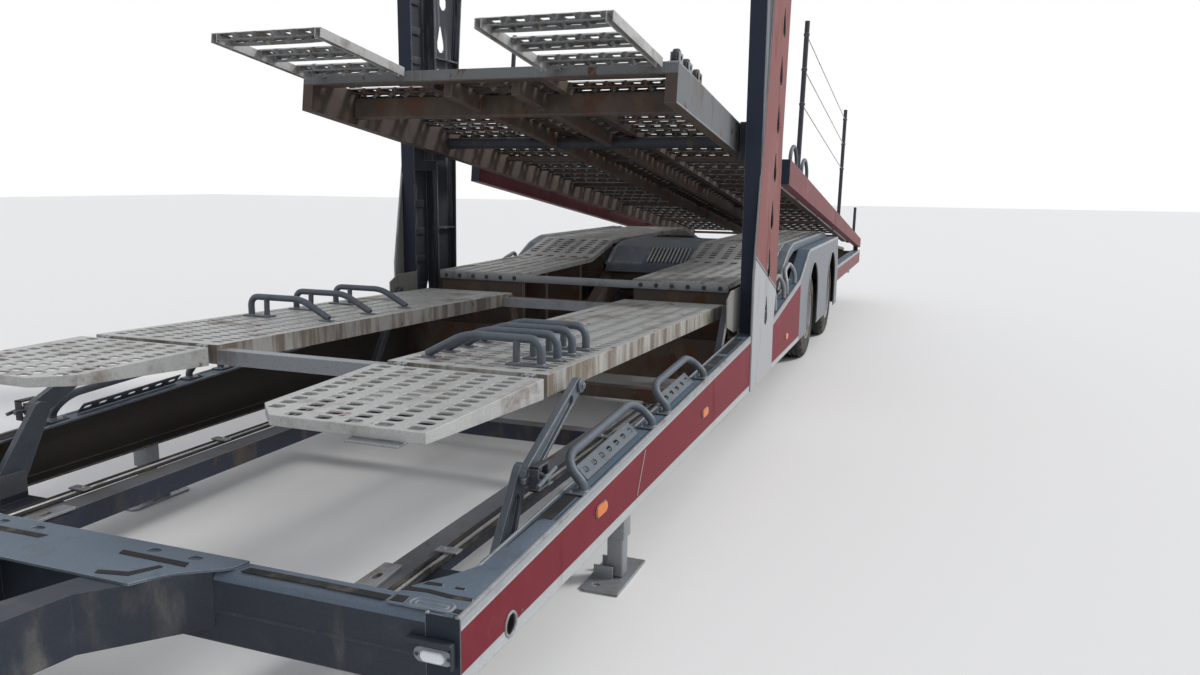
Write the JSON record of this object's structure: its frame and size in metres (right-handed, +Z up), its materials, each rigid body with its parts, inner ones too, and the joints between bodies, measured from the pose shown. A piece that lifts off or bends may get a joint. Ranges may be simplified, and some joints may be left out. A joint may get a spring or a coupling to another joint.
{
  "type": "car transporter trailer",
  "caption": "Double-deck drawbar trailer for carrying cars: tilting upper deck on two columns, hinged lower tracks and flaps, knee props, twin-tyred tandem axle.",
  "frame": {"origin": "on the ground under the middle of the trailer's overall box", "axes": "+X forwards to the drawbar eye, +Y to the vehicle's left, +Z up"},
  "size_m": [12.505, 2.55, 3.212],
  "materials": {
    "galvanised": "dull galvanised steel, dirty",
    "blue_grey_paint": "worn blue-grey paint",
    "red_panel": "dark red paint between pale bands, faded",
    "column_paint": "faded red and white paint",
    "rusty_frame": "dark dirty frame with rust",
    "faded_red": "faded red paint",
    "pale_panel": "dirty white paint",
    "tyre": "worn black rubber",
    "rim": "dusty silver paint",
    "bright_steel": "worn bare steel",
    "black_rubber": "black rubber",
    "amber_lens": "amber lens",
    "red_lens": "red lens"
  },
  "bodies": {
    "chassis": {"arch_panel_left": "pale_panel", "arch_panel_right": "pale_panel", "axle_front": "rusty_frame", "axle_rear": "rusty_frame", "column_left": "column_paint", "column_right": "column_paint", "cross_beam": "rusty_frame", "cross_members": "rusty_frame", "drawbar": "blue_grey_paint", "front_beam": "blue_grey_paint", "hydraulic_pipes": "bright_steel", "main_frame": "rusty_frame", "marker_lamps": "amber_lens", "mud_flaps": "black_rubber", "mudguards": "blue_grey_paint", "rear_bumper": "galvanised", "rear_lamps": "red_lens", "rear_track_left": "galvanised", "rear_track_right": "galvanised", "side_sill_left": "red_panel", "side_sill_right": "red_panel", "sill_chocks": "galvanised", "support_legs": "galvanised", "suspension": "rusty_frame", "towing_eye": "bright_steel", "track_posts": "rusty_frame"},
    "lower_flap_left": {"lower_flap_left": "galvanised"},
    "upper_flap_left": {"upper_flap_left": "galvanised"},
    "prop_lower_left": {"prop_lower_left": "galvanised"},
    "prop_upper_left": {"prop_upper_left": "galvanised"},
    "wheel_front_left": {"tyres_front_left": "tyre", "rims_front_left": "rim"},
    "wheel_rear_left": {"tyres_rear_left": "tyre", "rims_rear_left": "rim"},
    "lower_flap_right": {"lower_flap_right": "galvanised"},
    "upper_flap_right": {"upper_flap_right": "galvanised"},
    "prop_lower_right": {"prop_lower_right": "galvanised"},
    "prop_upper_right": {"prop_upper_right": "galvanised"},
    "wheel_front_right": {"tyres_front_right": "tyre", "rims_front_right": "rim"},
    "wheel_rear_right": {"tyres_rear_right": "tyre", "rims_rear_right": "rim"},
    "front_deck": {"front_deck_tubes": "galvanised", "lower_track_left": "galvanised", "lower_track_right": "galvanised", "track_chocks": "galvanised"},
    "deck_carriage": {"lift_carriage": "galvanised"},
    "upper_deck": {"upper_deck_frame": "rusty_frame", "deck_cross_members": "rusty_frame", "upper_track_left": "galvanised", "upper_track_right": "galvanised", "deck_side_rails": "faded_red", "deck_posts": "galvanised"}
  },
  "joints": [
    {"name": "deck_lift", "type": "slide", "parent": "chassis", "child": "deck_carriage", "axis": [0, 0, 1], "range_m": [0, 0.6]},
    {"name": "deck_tilt", "type": "hinge", "parent": "deck_carriage", "child": "upper_deck", "pos_m": [0.7475, 0, 1.8], "axis": [0, 1, 0], "range_deg": [0, 11]},
    {"name": "front_deck_tilt", "type": "hinge", "parent": "chassis", "child": "front_deck", "pos_m": [1.0475, 0, 0.75], "axis": [0, -1, 0], "range_deg": [-4, 0.5]},
    {"name": "upper_flap_left_hinge", "type": "hinge", "parent": "upper_deck", "child": "upper_flap_left", "pos_m": [2.26719, 0.7, 2.10974], "axis": [0, -1, 0], "range_deg": [-25, 75]},
    {"name": "lower_flap_left_hinge", "type": "hinge", "parent": "front_deck", "child": "lower_flap_left", "pos_m": [3.76331, 0.7, 0.86236], "axis": [0, -1, 0], "range_deg": [-5, 30]},
    {"name": "prop_left_foot", "type": "hinge", "parent": "chassis", "child": "prop_lower_left", "pos_m": [4.1875, 1.1, 0.335], "axis": [0, -1, 0], "range_deg": [-13, 4]},
    {"name": "prop_left_knee", "type": "hinge", "parent": "prop_lower_left", "child": "prop_upper_left", "pos_m": [4.0225, 1.1, 0.6], "axis": [0, -1, 0], "range_deg": [-12, 42]},
    {"name": "wheel_front_left_spin", "type": "hinge", "parent": "chassis", "child": "wheel_front_left", "pos_m": [-1.6525, 0.974, 0.394], "axis": [0, 1, 0], "continuous": true},
    {"name": "wheel_rear_left_spin", "type": "hinge", "parent": "chassis", "child": "wheel_rear_left", "pos_m": [-3.0125, 0.974, 0.394], "axis": [0, 1, 0], "continuous": true},
    {"name": "upper_flap_right_hinge", "type": "hinge", "parent": "upper_deck", "child": "upper_flap_right", "pos_m": [2.26719, -0.7, 2.10974], "axis": [0, -1, 0], "range_deg": [-25, 75]},
    {"name": "lower_flap_right_hinge", "type": "hinge", "parent": "front_deck", "child": "lower_flap_right", "pos_m": [3.76331, -0.7, 0.86236], "axis": [0, -1, 0], "range_deg": [-5, 30]},
    {"name": "prop_right_foot", "type": "hinge", "parent": "chassis", "child": "prop_lower_right", "pos_m": [4.1875, -1.1, 0.335], "axis": [0, -1, 0], "range_deg": [-13, 4]},
    {"name": "prop_right_knee", "type": "hinge", "parent": "prop_lower_right", "child": "prop_upper_right", "pos_m": [4.0225, -1.1, 0.6], "axis": [0, -1, 0], "range_deg": [-12, 42]},
    {"name": "wheel_front_right_spin", "type": "hinge", "parent": "chassis", "child": "wheel_front_right", "pos_m": [-1.6525, -0.974, 0.394], "axis": [0, 1, 0], "continuous": true},
    {"name": "wheel_rear_right_spin", "type": "hinge", "parent": "chassis", "child": "wheel_rear_right", "pos_m": [-3.0125, -0.974, 0.394], "axis": [0, 1, 0], "continuous": true}
  ],
  "couplings": [
    {"joint": "prop_left_foot", "follows": "front_deck_tilt", "ratio": 2.9},
    {"joint": "prop_left_knee", "follows": "front_deck_tilt", "ratio": -9.3},
    {"joint": "prop_right_foot", "follows": "front_deck_tilt", "ratio": 2.9},
    {"joint": "prop_right_knee", "follows": "front_deck_tilt", "ratio": -9.3}
  ]
}
